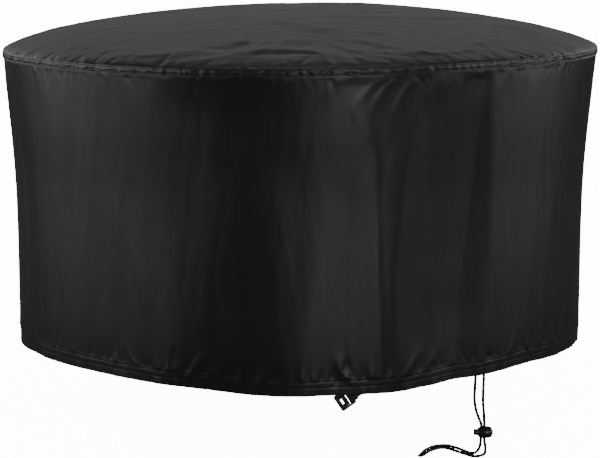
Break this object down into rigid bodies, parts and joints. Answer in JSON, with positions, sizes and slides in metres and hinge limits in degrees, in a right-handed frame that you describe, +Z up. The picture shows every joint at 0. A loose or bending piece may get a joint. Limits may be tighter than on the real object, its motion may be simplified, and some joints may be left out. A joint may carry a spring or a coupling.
{
  "type": "round patio furniture cover",
  "caption": "Fitted round cloth cover for outdoor furniture: domed top, stitched seam, folded skirt, hem with drawcord and cord lock, and a strap end with a buckle.",
  "frame": {"origin": "underside of the cloth at the centre of the top, where the covered table holds it up", "axes": "+Z up, front towards -Y, +X to the right of a viewer in front"},
  "size_m": [1.2634, 1.264, 0.8654],
  "materials": {
    "top_cloth": "black coated woven polyester, half glossy",
    "skirt_cloth": "black coated woven polyester, half glossy",
    "cord": "black braided cord",
    "cord_end": "black, melted together",
    "lock_plastic": "black moulded plastic",
    "button_plastic": "black moulded plastic",
    "webbing": "black woven webbing",
    "buckle_plastic": "black moulded plastic"
  },
  "bodies": {
    "cover": {"top_panel": "top_cloth", "skirt": "skirt_cloth", "drawcord_left": "cord", "drawcord_right": "cord", "cord_tip": "cord_end", "cord_lock_barrel": "lock_plastic", "strap": "webbing", "strap_buckle": "buckle_plastic"},
    "button": {"cord_lock_button": "button_plastic"}
  },
  "joints": [
    {"name": "button_press", "type": "slide", "parent": "cover", "child": "button", "axis": [1, 0, 0], "range_m": [0, 0.003], "stiffness_N_per_m": 300, "springref_m": -0.01}
  ]
}
